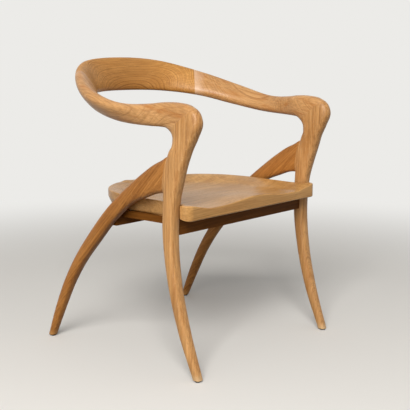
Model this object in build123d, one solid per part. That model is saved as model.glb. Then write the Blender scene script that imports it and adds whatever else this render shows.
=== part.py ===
from build123d import *
import math
import os

# Armchair: one flowing bow of arms and crest rail over a pair of leg trestles, with a dished
# seat carried on rails. Millimetres. +Z is up, +X is the sitter's left, the chair faces -Y.
# The origin is on the floor under the middle of the chair.

# ---- Driving dimensions ---------------------------------------------------------------------

# The chair hangs on two sizes: a "rise" is measured up from the seat's underside, and a "splay"
# outward from the middle of the legs
seat_underside = 396.5
leg_offset = 279                # centre of the legs from the middle plane, at the seat

# Front legs, from the floor up
front_foot_depth = -278.5       # centre of the foot along Y
front_foot_splay = -2
front_foot_size = 22.5
calf_height = 120
calf_depth = -235
calf_size = 29.5
shin_height = 240
shin_depth = -204.5
shin_size = 33
knee_rise = -6.5                # where the leg stands furthest back
knee_depth = -191.5
knee_size = 38
leg_width = 40                  # thickness of the leg across the chair, at the seat
crotch_leg_rise = 53.5          # just below the rear leg
crotch_leg_depth = -196.5
crotch_leg_size = 41
thigh_rise = 102
thigh_depth = -204
thigh_size = 53
thigh_tilt = 14                 # how far the thigh's section has turned from level, in degrees

# Side window, the round-ended gap that arm, front leg and rear leg leave between them
window_depth = -158             # centre of the window's round end
window_rise = 189.5
window_radius = 44
corner_reach = 144              # from that centre to the tip of the arm's front corner
corner_splay = -5
mitre_angle = 142               # direction of the mitre, from the rear around the window's centre
leg_fan_angle = 202             # where the fan of corner sections starts, at the leg
leg_fan_reach = 98
arm_fan_angle = 100             # and where it ends, at the arm
arm_fan_reach = 102

# Arms and crest rail: centre line, with its height above the window's centre, and the section's
# height, thickness and outward lean in degrees
arm_splay, arm_depth, arm_height = 11, -138, 69
arm_tall, arm_thick, arm_lean = 55, 37, 8
bow_splay, bow_depth, bow_height = 25, -45, 72
bow_tall, bow_thick, bow_lean = 52, 30, 34
shoulder_splay, shoulder_depth, shoulder_height = 12, 64, 96
shoulder_tall, shoulder_thick, shoulder_lean = 68, 36, 46
joint_splay, joint_depth, joint_height = -38.5, 155, 126
joint_tall, joint_thick, joint_lean = 80, 34, 38
quarter_splay, quarter_depth, quarter_height = -131.5, 245, 153
quarter_tall, quarter_thick, quarter_lean = 95, 27.5, 20.5
crest_depth, crest_height = 271, 161
crest_tall, crest_thick, crest_lean = 97.5, 26, 4
crest_cut_share = 0.24          # place of the crest's upright joint between two stations

# Rear legs
rear_foot_depth = 279
rear_foot_splay = 4
rear_foot_size = 21.5
root_height = 96                # height of the joint with the front leg
root_tilt = 10                  # lean of that joint from upright, in degrees
root_depth = -183.5             # centre of the joint
root_rise = 113
root_width = 38.5
root_depth_in_leg = 16          # how far the root's shape runs on inside the front leg
root_taper = 2                  # how much smaller the shape is at its end in there

# Rear legs from the root down: depth and rise of the centre line; turn of the section from
# upright, in degrees; and the section's height and thickness
throat_depth, throat_rise, throat_turn, throat_tall, throat_thick = -162, 106.5, -9, 85.5, 38
collar_depth, collar_rise, collar_turn, collar_tall, collar_thick = -141.5, 98.5, -2, 76.5, 37.5
haunch_depth, haunch_rise, haunch_turn, haunch_tall, haunch_thick = -109, 81.5, 9, 63, 37
hip_depth, hip_rise, hip_turn, hip_tall, hip_thick = -58, 52, 30, 44.5, 35
loin_depth, loin_rise, loin_turn, loin_tall, loin_thick = 10, 0, 38, 39, 34
stifle_depth, stifle_rise, stifle_turn, stifle_tall, stifle_thick = 84, -76.5, 48, 37.5, 33
hock_depth, hock_rise, hock_turn, hock_tall, hock_thick = 150, -153.5, 53.5, 32.5, 31.5
cannon_depth, cannon_rise, cannon_turn, cannon_tall, cannon_thick = 195, -220.5, 59, 29.5, 29.5
ankle_depth, ankle_rise, ankle_turn, ankle_tall, ankle_thick = 232, -290.5, 66.5, 27, 27.5

# Seat
seat_front_thickness = 39.5     # from the underside to the rim that surrounds the dish
seat_back_thickness = 42.5
seat_front = -246
seat_back = 198
corner_overhang = 18.5          # how far the front corners stand out in front of the legs
seat_back_start = -22           # where the sides begin to curve round to the back
seat_back_fullness = 0.61       # how square that curve is; 0.55 is an ellipse
seat_corner_radius = 22
notch_slant = 5                 # how much the notch behind each front corner narrows the seat
thigh_hollow = 14.5             # hollow for each thigh at the front edge, below the rim
dish_hollow = 20                # deepest hollow, below the rim
dish_deepest = 18               # where along Y the hollow is deepest
dish_flat = 0.645               # share of the half width that the hollow's flat bottom takes
dish_margin = 8                 # how far outside the seat's edge the hollow's slope would end
pommel_rise = 11                # ridge between the two thigh hollows
pommel_half_width = 150
pommel_end = -22
seat_edge_round = 10            # along the bottom of the sides and the back
seat_front_round = 4            # along the bottom of the front
seat_top_round = 3
seat_lean_height = 22           # the walls lean in below this height above the underside
seat_side_lean = 6
seat_back_lean = 12
seat_wall_ease = 60             # length over which the straight side starts to lean
corner_undercut_run = 22        # bevel under each front corner, towards its leg
corner_undercut_rise = 7
seat_board_count = 4
leg_clearance = 2               # around the front legs, in the seat's notches

# Rails under the seat
front_rail_height = 39.5
rear_rail_height = 42.5
rail_thickness = 22
front_rail_face = -199          # front face of the front rail
rear_rail_face = 19             # front face of the rear rail
rail_tenon_length = 22
rail_tenon_thickness = 10
front_tenon_height = 30
rear_tenon_height = 20
rail_scribe_depth = 2           # how far the rails' ends lap onto the rounded legs
bearer_height = 18.5
bearer_width = 20
bearer_inset = 1                # from the seat's side in to each side bearer

# Joinery and fasteners
joint_clearance = 0.15          # all around each tenon, dowel and screw
tenon_thickness = 12
mitre_tenon_width = 44
mitre_tenon_length = 56
root_tenon_width = 52
root_tenon_length = 50
crest_dowel_diameter = 10
crest_dowel_length = 50
crest_dowel_spacing = 34
bearer_dowel_diameter = 8
bearer_dowel_length = 32
screw_diameter = 4.5
screw_head_diameter = 8.5
screw_head_height = 3
screw_length = 30
screw_recess = 1.5              # how deep the head sits in the bearer
screw_spacing = 70
screw_count = 3
glide_diameter = 16
glide_thickness = 4.5
glide_pin_diameter = 3
glide_pin_length = 15
section_fullness = 0.75         # how square the rounded sections are; 0.55 is an ellipse

# ---- Sections -------------------------------------------------------------------------------

UP = Vector(0, 0, 1)
ACROSS = Vector(1, 0, 0)


def side_point(depth, height, offset=0.0):
    return Vector(offset, depth, height)


def tilted(degrees):
    """Unit vector in the side view, turned from the rear (+Y) towards up."""
    angle = math.radians(degrees)
    return Vector(0, math.cos(angle), math.sin(angle))


class Station:
    """One cross-section of a shaped member: its centre, two axes and two half sizes."""

    def __init__(self, centre, tall_axis, thick_axis, tall, thick):
        self.centre = centre
        self.tall_axis = tall_axis.normalized()
        self.thick_axis = thick_axis.normalized()
        self.half_tall = tall / 2
        self.half_thick = thick / 2

    def tall(self):
        return self.tall_axis * self.half_tall

    def thick(self):
        return self.thick_axis * self.half_thick

    def ring(self):
        """Control points of the rounded-square outline, three to each quarter."""
        tall, thick = self.tall(), self.thick()
        points = []
        for start, end in ((tall, thick), (thick, -tall), (-tall, -thick), (-thick, tall)):
            points += [self.centre + start,
                       self.centre + start + end * section_fullness,
                       self.centre + end + start * section_fullness]
        return points

    def outline(self):
        ring = self.ring()
        closed = ring + ring[:1]
        return Wire([Edge.make_bezier(*closed[3 * k:3 * k + 4]) for k in range(4)])

    def mirrored(self):
        """The same station on the other side of the chair."""
        return Station(flip(self.centre), flip(self.tall_axis), flip(self.thick_axis),
                       2 * self.half_tall, 2 * self.half_thick)


def flip(vector):
    return Vector(-vector.X, vector.Y, vector.Z)


def member(stations):
    """Solid through a list of stations: four curved faces between each two, smooth throughout."""
    places = [0.0]
    for before, after in zip(stations, stations[1:]):
        outer = (after.centre + after.tall() - before.centre - before.tall()).length
        inner = (after.centre - after.tall() - before.centre + before.tall()).length
        places.append(places[-1] + (outer + inner) / 2)
    rings = [station.ring() for station in stations]
    slopes = [ring_slopes(rings, places, k) for k in range(len(stations))]
    faces = [Face(stations[0].outline()), Face(stations[-1].outline())]
    for k in range(len(stations) - 1):
        third = (places[k + 1] - places[k]) / 3
        for quarter in range(4):
            net = []
            for j in range(3 * quarter, 3 * quarter + 4):
                n = j % len(rings[k])
                net.append([rings[k][n], rings[k][n] + slopes[k][n] * third,
                            rings[k + 1][n] - slopes[k + 1][n] * third, rings[k + 1][n]])
            faces.append(Face.make_bezier_surface(net))
    return Solid(Shell(faces))


def ring_slopes(rings, places, k):
    """How fast each ring point moves along the member at station k."""
    def step(a, b, n):
        return (rings[b][n] - rings[a][n]) / (places[b] - places[a])

    last = len(rings) - 1
    slopes = []
    for n in range(len(rings[k])):
        if k == 0:
            slopes.append(step(0, 1, n))
        elif k == last:
            slopes.append(step(last - 1, last, n))
        else:
            ahead, behind = places[k + 1] - places[k], places[k] - places[k - 1]
            blend = behind / (ahead + behind)
            slopes.append(step(k, k + 1, n) * blend + step(k - 1, k, n) * (1 - blend))
    return slopes


# ---- The bow: front legs, arms and crest rail as one line -------------------------------------

window_height = seat_underside + window_rise
front_foot_offset = leg_offset + front_foot_splay
corner_offset = leg_offset + corner_splay
arm_offset = leg_offset + arm_splay


def leg_station(depth, height, deep, wide, offset, tilt=0.0):
    """Level or tilted section of a front leg; its tall axis points to the front."""
    return Station(side_point(depth, height, offset), tilted(180 + tilt), ACROSS, deep, wide)


def corner_station(angle, outer, inner=window_radius):
    """Section that fans round the window's end, from the window out to the corner."""
    past_mitre = (angle - mitre_angle) / (leg_fan_angle - mitre_angle)
    before_mitre = (mitre_angle - angle) / (mitre_angle - arm_fan_angle)
    offset = corner_offset + (leg_offset - corner_offset) * max(past_mitre, 0) ** 2
    offset += (arm_offset - corner_offset) * 0.4 * max(before_mitre, 0) ** 2
    middle = (inner + outer) / 2
    centre = side_point(window_depth, window_height, offset) + tilted(angle) * middle
    return Station(centre, tilted(angle), ACROSS, outer - inner, leg_width)


front_leg_stations = [
    leg_station(front_foot_depth, glide_thickness, front_foot_size, front_foot_size,
                front_foot_offset),
    leg_station(calf_depth, calf_height, calf_size, calf_size, (front_foot_offset + leg_offset) / 2),
    leg_station(shin_depth, shin_height, shin_size, shin_size, leg_offset),
    leg_station(knee_depth, seat_underside + knee_rise, knee_size, knee_size, leg_offset),
    leg_station(crotch_leg_depth, seat_underside + crotch_leg_rise, crotch_leg_size, leg_width,
                leg_offset),
    leg_station(thigh_depth, seat_underside + thigh_rise, thigh_size, leg_width, leg_offset,
                thigh_tilt),
]
corner_stations = [
    corner_station(leg_fan_angle, leg_fan_reach, window_radius - 3),
    corner_station(188, leg_fan_reach + 2),
    corner_station(172, corner_reach - 28, window_radius + 1),
    corner_station(157, corner_reach - 3, window_radius + 2),
    corner_station(147, corner_reach, window_radius + 2),
    corner_station(136, corner_reach - 9, window_radius + 1),
    corner_station(120, corner_reach - 28),
    corner_station(arm_fan_angle, arm_fan_reach, window_radius - 3),
]


def bow_point(splay, depth, height):
    """Point of the bow's centre line, its height measured from the window's centre."""
    return Vector(leg_offset + splay, depth, window_height + height)


def bow_stations():
    """Arm and crest sections, square to the centre line, leaning outward at the top."""
    quarter = bow_point(quarter_splay, quarter_depth, quarter_height)
    line = [
        (corner_stations[-1].centre, 0, 0, 0),
        (bow_point(arm_splay, arm_depth, arm_height), arm_tall, arm_thick, arm_lean),
        (bow_point(bow_splay, bow_depth, bow_height), bow_tall, bow_thick, bow_lean),
        (bow_point(shoulder_splay, shoulder_depth, shoulder_height),
         shoulder_tall, shoulder_thick, shoulder_lean),
        (bow_point(joint_splay, joint_depth, joint_height), joint_tall, joint_thick, joint_lean),
        (quarter, quarter_tall, quarter_thick, quarter_lean),
        (bow_point(-leg_offset, crest_depth, crest_height), crest_tall, crest_thick, crest_lean),
        (flip(quarter), 0, 0, 0),
    ]
    stations = []
    for before, here, after in zip(line, line[1:], line[2:]):
        centre, tall, thick, lean = here
        along = (after[0] - before[0]).normalized()
        outward = along.cross(UP).normalized()
        upward = outward.cross(along)
        lean_in = math.radians(lean)
        tall_axis = upward * math.cos(lean_in) + outward * math.sin(lean_in)
        thick_axis = outward * math.cos(lean_in) - upward * math.sin(lean_in)
        stations.append(Station(centre, tall_axis, thick_axis, tall, thick))
    return stations


arm_stations = bow_stations()
half_bow = front_leg_stations + corner_stations + arm_stations
whole_bow = member(half_bow + [station.mirrored() for station in reversed(half_bow[:-1])])

# ---- Cutting tools and joinery ----------------------------------------------------------------

LARGE = 2000
bearer_underside = seat_underside - bearer_height
notch_side = leg_offset - leg_width / 2 - leg_clearance
seat_half_front = notch_side + corner_overhang
seat_half_width = notch_side - notch_slant
bearer_outside = seat_half_width - bearer_inset
bearer_middle = bearer_outside - bearer_width / 2


def half_space(plane):
    """Everything on the side of the plane that its normal points to."""
    return plane * Pos(0, 0, LARGE / 2) * Box(LARGE, LARGE, LARGE)


def main_solid(shape):
    """The largest solid of a cut shape."""
    return max(shape.solids(), key=lambda solid: solid.volume)


def block(x_range, y_range, z_range):
    """Box between two corners."""
    size = [high - low for low, high in (x_range, y_range, z_range)]
    middle = [(high + low) / 2 for low, high in (x_range, y_range, z_range)]
    return Pos(*middle) * Box(*size)


def loose_tenon(plane, width, length, clearance=0.0):
    """Round-edged tenon across a joint plane; with clearance it is the mortise's cutter."""
    thick = tenon_thickness + 2 * clearance
    wide = width + 2 * clearance
    long = length + 2 * clearance
    core = Box(thick, wide - thick, long)
    ends = [Pos(0, side * (wide - thick) / 2, 0) * Cylinder(thick / 2, long) for side in (-1, 1)]
    return plane * (core + ends)


def dowel(plane, diameter, length, along=0.0, clearance=0.0):
    """Dowel centred on a joint plane and square to it, moved along the plane's Y."""
    shape = Cylinder(diameter / 2 + clearance, length + 2 * clearance)
    return plane * Pos(0, along, 0) * shape


def crest_dowels(clearance=0.0):
    return [dowel(crest_plane, crest_dowel_diameter, crest_dowel_length, along, clearance)
            for along in (-crest_dowel_spacing / 2, crest_dowel_spacing / 2)]


def seat_screw(depth, clearance=0.0):
    """Countersunk screw driven up through a bearer, its head's underside turned up."""
    head_top = bearer_underside + screw_recess + screw_head_height
    radius = screw_diameter / 2 + clearance
    head_radius = screw_head_diameter / 2 + clearance
    head = Pos(0, 0, head_top - screw_head_height / 2) * Cone(
        head_radius, radius, screw_head_height)
    shank_length = screw_length - screw_head_height + clearance
    shank = Pos(0, 0, head_top + shank_length / 2) * Cylinder(radius, shank_length)
    return Pos(bearer_middle, depth, 0) * (head + shank)


def glide(centre, clearance=0.0):
    """Foot glide: a disc under the foot with a pin up into it."""
    disc = Pos(0, 0, glide_thickness / 2) * Cylinder(glide_diameter / 2, glide_thickness)
    pin_length = glide_pin_length + clearance
    pin = Pos(0, 0, glide_thickness + pin_length / 2) * Cylinder(
        glide_pin_diameter / 2 + clearance, pin_length)
    return Pos(centre.X, centre.Y, 0) * (disc + pin)


def both_sides(shape):
    """The shape and its mirror image."""
    return [shape, shape.mirror(Plane.YZ)]


# ---- Front leg and arm on the sitter's left, and the crest rail -------------------------------

def crest_joint_plane():
    """Upright plane across the bow, centred in the wood: X across its thickness, Z inwards."""
    near, far = arm_stations[3:5]
    chord = far.centre - near.centre
    guess = near.centre + chord * crest_cut_share
    inward = Vector(chord.X, chord.Y, 0).normalized()
    faces = section(whole_bow, section_by=Plane(guess, z_dir=inward)).faces()
    centre = min((face.center() for face in faces), key=lambda point: (point - guess).length)
    tall_axis = near.tall_axis + (far.tall_axis - near.tall_axis) * crest_cut_share
    return Plane(centre, x_dir=tall_axis.cross(inward), z_dir=inward)


window_centre = side_point(window_depth, window_height)
mitre_plane = Plane(window_centre, x_dir=ACROSS, z_dir=tilted(mitre_angle - 90))
mitre_middle = corner_station(mitre_angle, corner_reach).centre
mitre_joint = Plane(mitre_middle, x_dir=ACROSS, z_dir=mitre_plane.z_dir)
crest_plane = crest_joint_plane()

left_side = Pos(LARGE / 2, 0, 0) * Box(LARGE, 2 * LARGE, 2 * LARGE)
beyond_mitre = half_space(mitre_plane)
beyond_crest = half_space(crest_plane)
left_bow = whole_bow & left_side
front_leg = main_solid(left_bow - beyond_mitre)
arm = main_solid((left_bow & beyond_mitre) - beyond_crest)
crest_rail = main_solid(whole_bow & beyond_crest & beyond_crest.mirror(Plane.YZ))

# ---- Rear leg ---------------------------------------------------------------------------------

root_axis = tilted(90 + root_tilt)
rear_foot_offset = leg_offset + rear_foot_splay
root_centre = side_point(root_depth, seat_underside + root_rise, leg_offset)
root_plane = Plane(root_centre, x_dir=ACROSS, z_dir=tilted(root_tilt))


def rear_leg_offset(depth):
    """The rear legs splay a little from their root to the foot."""
    travel = (depth - root_depth) / (rear_foot_depth - root_depth)
    return leg_offset + (rear_foot_offset - leg_offset) * travel


def rear_station(depth, rise, turn, tall, thick):
    """Section of a rear leg; its tall axis points up, turned to the front by turn degrees."""
    centre = side_point(depth, seat_underside + rise, rear_leg_offset(depth))
    return Station(centre, tilted(90 - turn), ACROSS, tall, thick)


rear_leg_stations = [
    Station(root_centre - tilted(root_tilt) * root_depth_in_leg, root_axis, ACROSS,
            root_height - root_taper, root_width - root_taper),
    Station(root_centre, root_axis, ACROSS, root_height, root_width),
    rear_station(throat_depth, throat_rise, throat_turn, throat_tall, throat_thick),
    rear_station(collar_depth, collar_rise, collar_turn, collar_tall, collar_thick),
    rear_station(haunch_depth, haunch_rise, haunch_turn, haunch_tall, haunch_thick),
    rear_station(hip_depth, hip_rise, hip_turn, hip_tall, hip_thick),
    rear_station(loin_depth, loin_rise, loin_turn, loin_tall, loin_thick),
    rear_station(stifle_depth, stifle_rise, stifle_turn, stifle_tall, stifle_thick),
    rear_station(hock_depth, hock_rise, hock_turn, hock_tall, hock_thick),
    rear_station(cannon_depth, cannon_rise, cannon_turn, cannon_tall, cannon_thick),
    rear_station(ankle_depth, ankle_rise, ankle_turn, ankle_tall, ankle_thick),
    Station(side_point(rear_foot_depth, glide_thickness, rear_foot_offset), tilted(0), ACROSS,
            rear_foot_size, rear_foot_size),
]
rear_leg_shape = member(rear_leg_stations)
behind_root = half_space(root_plane)
rear_leg = main_solid(rear_leg_shape & behind_root)
root_stub = main_solid(rear_leg_shape - behind_root)
front_leg = main_solid((front_leg + root_stub) - rear_leg)

# ---- Seat -------------------------------------------------------------------------------------


seat_rim_front = seat_underside + seat_front_thickness
seat_rim_back = seat_underside + seat_back_thickness


def smooth_step(value):
    """0 below 0, 1 above 1, and an even S-curve between."""
    clipped = min(max(value, 0), 1)
    return clipped * clipped * (3 - 2 * clipped)


def seat_height(x, y):
    """Height of the dished top at a point of the plan."""
    along = (y - seat_front) / (seat_back - seat_front)
    rim = seat_rim_front + (seat_rim_back - seat_rim_front) * along
    front_share = min(max((seat_back_start - y) / (seat_back_start - seat_front), 0), 1)
    half_width = seat_half_width + (seat_half_front - seat_half_width) * front_share
    sideways = abs(x) / (half_width + dish_margin * (1 - front_share))
    backward = max(y - seat_back_start, 0) / (seat_back + dish_margin - seat_back_start)
    outward = math.hypot(sideways, backward)
    bottom = 1 - smooth_step((outward - dish_flat) / (1 - dish_flat))
    to_deepest = smooth_step((y - seat_front) / (dish_deepest - seat_front))
    hollow = thigh_hollow + (dish_hollow - thigh_hollow) * to_deepest
    ridge_fade = 1 - smooth_step((y - seat_front) / (pommel_end - seat_front))
    ridge_place = min(abs(x) / pommel_half_width, 1)
    ridge = pommel_rise * ridge_fade * math.cos(ridge_place * math.pi / 2) ** 2
    return rim - hollow * bottom + ridge


leg_front_face = crotch_leg_depth - crotch_leg_size / 2
notch_front = leg_front_face - leg_clearance
notch_back = crotch_leg_depth + crotch_leg_size / 2
corner_x = seat_half_front - seat_corner_radius
corner_y = seat_front + seat_corner_radius
back_control = seat_back_start + (seat_back - seat_back_start) * seat_back_fullness


def seat_outline(height, side_lean, back_lean):
    """Plan of the seat at a height; the leans move its sides and its back inwards."""
    half_width = seat_half_width - side_lean
    half = [
        Edge.make_line((0, seat_front), (corner_x, seat_front)),
        Edge.make_circle(seat_corner_radius, Plane((corner_x, corner_y, 0)), -90, 0),
        Edge.make_line((seat_half_front, corner_y), (seat_half_front, notch_front)),
        Edge.make_line((seat_half_front, notch_front), (notch_side, notch_front)),
        Edge.make_line((notch_side, notch_front), (seat_half_width, notch_back)),
        Edge.make_bezier((seat_half_width, notch_back),
                         (seat_half_width, notch_back + seat_wall_ease),
                         (half_width, seat_back_start - seat_wall_ease),
                         (half_width, seat_back_start)),
        Edge.make_bezier((half_width, seat_back_start), (half_width, back_control - back_lean),
                         (half_width * seat_back_fullness, seat_back - back_lean),
                         (0, seat_back - back_lean)),
    ]
    return Pos(0, 0, height) * Wire(half + [edge.mirror(Plane.YZ) for edge in half])


lean_top = seat_underside + seat_lean_height
seat_blank = (
    Solid.make_loft([seat_outline(seat_underside, seat_side_lean, seat_back_lean),
                     seat_outline(lean_top, 0, 0)], True)
    + Solid.make_loft([seat_outline(lean_top, 0, 0),
                       seat_outline(seat_rim_back + dish_hollow, 0, 0)], True))


def under_edges(shape, low_y, high_y):
    """The underside's edges whose middle lies in a range of Y."""
    return [edge for edge in shape.edges() if abs(edge.center().Z - seat_underside) < 0.1
            and low_y < edge.center().Y < high_y]


seat_blank = fillet(under_edges(seat_blank, notch_back, LARGE), seat_edge_round)
seat_blank = fillet(under_edges(seat_blank, -LARGE, notch_front - 1), seat_front_round)
undercut_angle = math.degrees(math.atan2(corner_undercut_rise, corner_undercut_run))
corner_undercut = (Pos(seat_half_front, notch_front, seat_underside + corner_undercut_rise)
                   * Rot(undercut_angle, 0, 0)
                   * Box(2 * (seat_half_front - notch_side), 4 * corner_undercut_run,
                         2 * corner_undercut_rise, align=(Align.CENTER, Align.CENTER, Align.MAX)))
seat_blank = seat_blank - both_sides(corner_undercut)
columns = [k * seat_half_front * 1.1 / 15 for k in range(-15, 16)]
rows = [seat_front - 20 + k * (seat_back - seat_front + 40) / 24 for k in range(25)]
dished_top = Face.make_surface_from_array_of_points(
    [[Vector(x, y, seat_height(x, y)) for x in columns] for y in rows])
seat = main_solid(seat_blank & extrude(dished_top, 80, dir=(0, 0, -1)))
top_edges = [edge for edge in seat.edges() if edge.center().Z > lean_top + 1
             and abs(edge.tangent_at(0.5).Z) < 0.5]
seat = fillet(top_edges, seat_top_round)
board_width = (seat_back - seat_front) / seat_board_count
board_edges = [seat_front + k * board_width for k in range(seat_board_count + 1)]
boards = [main_solid(seat & block((-LARGE, LARGE), (near, far), (0, LARGE)))
          for near, far in zip(board_edges, board_edges[1:])]

# ---- Rails and bearers ------------------------------------------------------------------------


def rail_tenons(face, reach, height, level, clearance=0.0):
    """The two tenons of a rail as one long bar; with clearance, the mortises' cutter."""
    middle = face + rail_thickness / 2
    thick = rail_tenon_thickness / 2 + clearance
    half_length = reach + rail_tenon_length + clearance
    half_height = height / 2 + clearance
    return block((-half_length, half_length), (middle - thick, middle + thick),
                 (level - half_height, level + half_height))


front_rail_underside = seat_underside - front_rail_height
rear_rail_underside = seat_underside - rear_rail_height
front_tenon_level = (front_rail_underside + seat_underside) / 2
front_reach = leg_offset - knee_size / 2 + rail_scribe_depth
rear_rail_middle = rear_rail_face + rail_thickness / 2
rear_line = [station.centre for station in rear_leg_stations]
before, after = [(a, b) for a, b in zip(rear_line, rear_line[1:])
                 if a.Y <= rear_rail_middle < b.Y][0]
share = (rear_rail_middle - before.Y) / (after.Y - before.Y)
rear_tenon_level = before.Z + (after.Z - before.Z) * share
rear_reach = rear_leg_offset(rear_rail_middle) - loin_thick / 2 + rail_scribe_depth

front_tenons = (front_rail_face, front_reach, front_tenon_height, front_tenon_level)
rear_tenons = (rear_rail_face, rear_reach, rear_tenon_height, rear_tenon_level)
front_bar = block((-leg_offset, leg_offset), (front_rail_face, front_rail_face + rail_thickness),
                  (front_rail_underside, seat_underside))
rear_bar = block((-rear_reach, rear_reach), (rear_rail_face, rear_rail_face + rail_thickness),
                 (rear_rail_underside, seat_underside))
front_rail = main_solid(front_bar - both_sides(front_leg)) + rail_tenons(*front_tenons)
rear_rail = main_solid(rear_bar - both_sides(rear_leg)) + rail_tenons(*rear_tenons)

bearer_front = front_rail_face + rail_thickness
bearer = block((bearer_outside - bearer_width, bearer_outside), (bearer_front, rear_rail_face),
               (bearer_underside, seat_underside))

# ---- Cutting the joints -----------------------------------------------------------------------

bearer_level = (bearer_underside + seat_underside) / 2
bearer_ends = [Plane((bearer_middle, y, bearer_level), z_dir=(0, 1, 0))
               for y in (bearer_front, rear_rail_face)]
screw_places = [(bearer_front + rear_rail_face) / 2 + (k - (screw_count - 1) / 2) * screw_spacing
                for k in range(screw_count)]
front_foot = front_leg_stations[0].centre
rear_foot = rear_leg_stations[-1].centre


def bearer_dowels(clearance=0.0):
    return [dowel(end, bearer_dowel_diameter, bearer_dowel_length, 0, clearance)
            for end in bearer_ends]


mitre_tenon = loose_tenon(mitre_joint, mitre_tenon_width, mitre_tenon_length)
mitre_mortise = loose_tenon(mitre_joint, mitre_tenon_width, mitre_tenon_length, joint_clearance)
root_tenon = loose_tenon(root_plane, root_tenon_width, root_tenon_length)
root_mortise = loose_tenon(root_plane, root_tenon_width, root_tenon_length, joint_clearance)

arm = arm - mitre_mortise - crest_dowels(joint_clearance)
front_leg = (front_leg - mitre_mortise - root_mortise - glide(front_foot, joint_clearance)
             - rail_tenons(*front_tenons, joint_clearance))
rear_leg = (rear_leg - root_mortise - glide(rear_foot, joint_clearance)
            - rail_tenons(*rear_tenons, joint_clearance))
for hole in crest_dowels(joint_clearance):
    crest_rail = crest_rail - both_sides(hole)
for hole in bearer_dowels(joint_clearance):
    bearer = bearer - hole
    front_rail = front_rail - both_sides(hole)
    rear_rail = rear_rail - both_sides(hole)
for place in screw_places:
    hole = seat_screw(place, joint_clearance)
    recess = Pos(bearer_middle, place, bearer_underside) * Cylinder(
        screw_head_diameter / 2 + joint_clearance, 2 * screw_recess)
    bearer = bearer - hole - recess
    boards = [board - both_sides(hole) for board in boards]

# ---- Pieces -----------------------------------------------------------------------------------

pieces = {
    "crest_rail": crest_rail,
    "front_rail": front_rail,
    "rear_rail": rear_rail,
}
paired = {
    "arm": arm,
    "front_leg": front_leg,
    "rear_leg": rear_leg,
    "seat_bearer": bearer,
    "mitre_tenon": mitre_tenon,
    "root_tenon": root_tenon,
    "front_glide": glide(front_foot),
    "rear_glide": glide(rear_foot),
}
for name, shape in paired.items():
    pieces["left_" + name], pieces["right_" + name] = both_sides(shape)
for number, board in enumerate(boards, 1):
    pieces[f"seat_board_{number}"] = board
fasteners = {
    "crest_dowels": crest_dowels(),
    "bearer_dowels": bearer_dowels(),
    "seat_screws": [seat_screw(place) for place in screw_places],
}
for name, shapes in fasteners.items():
    pieces[name] = Compound([half for shape in shapes for half in both_sides(shape)])

os.makedirs("parts", exist_ok=True)
for name, shape in pieces.items():
    export_step(shape, f"parts/{name}.step")
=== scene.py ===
"""Sculpted oak armchair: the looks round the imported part.

The wood's finishes, the foot glides, the seat screws, the studio and the camera.
"""

import logging
from dataclasses import dataclass, replace
from enum import Enum

import bmesh
import bpy
from mathutils import Euler, Matrix, Vector

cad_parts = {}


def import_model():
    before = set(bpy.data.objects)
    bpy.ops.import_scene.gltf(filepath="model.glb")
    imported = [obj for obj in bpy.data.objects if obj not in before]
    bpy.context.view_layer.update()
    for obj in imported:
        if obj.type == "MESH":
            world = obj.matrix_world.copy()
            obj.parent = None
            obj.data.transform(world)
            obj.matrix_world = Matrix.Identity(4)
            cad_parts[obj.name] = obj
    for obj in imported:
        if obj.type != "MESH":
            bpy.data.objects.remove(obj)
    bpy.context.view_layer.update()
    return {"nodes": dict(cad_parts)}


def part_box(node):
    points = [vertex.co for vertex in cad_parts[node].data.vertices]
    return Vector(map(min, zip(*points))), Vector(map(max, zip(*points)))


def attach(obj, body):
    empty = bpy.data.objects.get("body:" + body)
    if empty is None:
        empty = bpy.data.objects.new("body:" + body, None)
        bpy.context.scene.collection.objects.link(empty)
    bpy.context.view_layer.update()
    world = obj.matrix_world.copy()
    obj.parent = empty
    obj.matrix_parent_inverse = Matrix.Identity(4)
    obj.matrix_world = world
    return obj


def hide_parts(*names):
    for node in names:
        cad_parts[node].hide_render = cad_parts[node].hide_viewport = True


log = logging.getLogger("armchair")

Socket = bpy.types.NodeSocket
Triple = tuple[float, float, float]
Colour = tuple[float, float, float, float]
Feed = Socket | float | Triple | Colour | Vector | Euler

SRGB_KNEE, SRGB_SLOPE, SRGB_OFFSET, SRGB_POWER = 0.04045, 12.92, 0.055, 2.4


def paint(card: Triple) -> Colour:
    """Turn a colour from a paint card into shader values.

    Args:
        card: red, green and blue from 0 to 255, as seen on a screen.

    Returns:
        The same colour in linear light, with full opacity.
    """
    channels = []
    for level in card:
        share = level / 255
        if share <= SRGB_KNEE:
            channels.append(share / SRGB_SLOPE)
        else:
            channels.append(((share + SRGB_OFFSET) / (1 + SRGB_OFFSET)) ** SRGB_POWER)
    return (*channels, 1.0)


@dataclass(frozen=True)
class Waves:
    """Soft noise: its waves in a metre along X, Y and Z, and how many finer layers it has."""

    per_metre: Triple
    layers: int


@dataclass(frozen=True)
class Ramp:
    """Maps the values from low to high onto others, with an eased or a straight change."""

    low: float
    high: float
    to_low: float = 0.0
    to_high: float = 1.0
    smooth: bool = True


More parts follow.
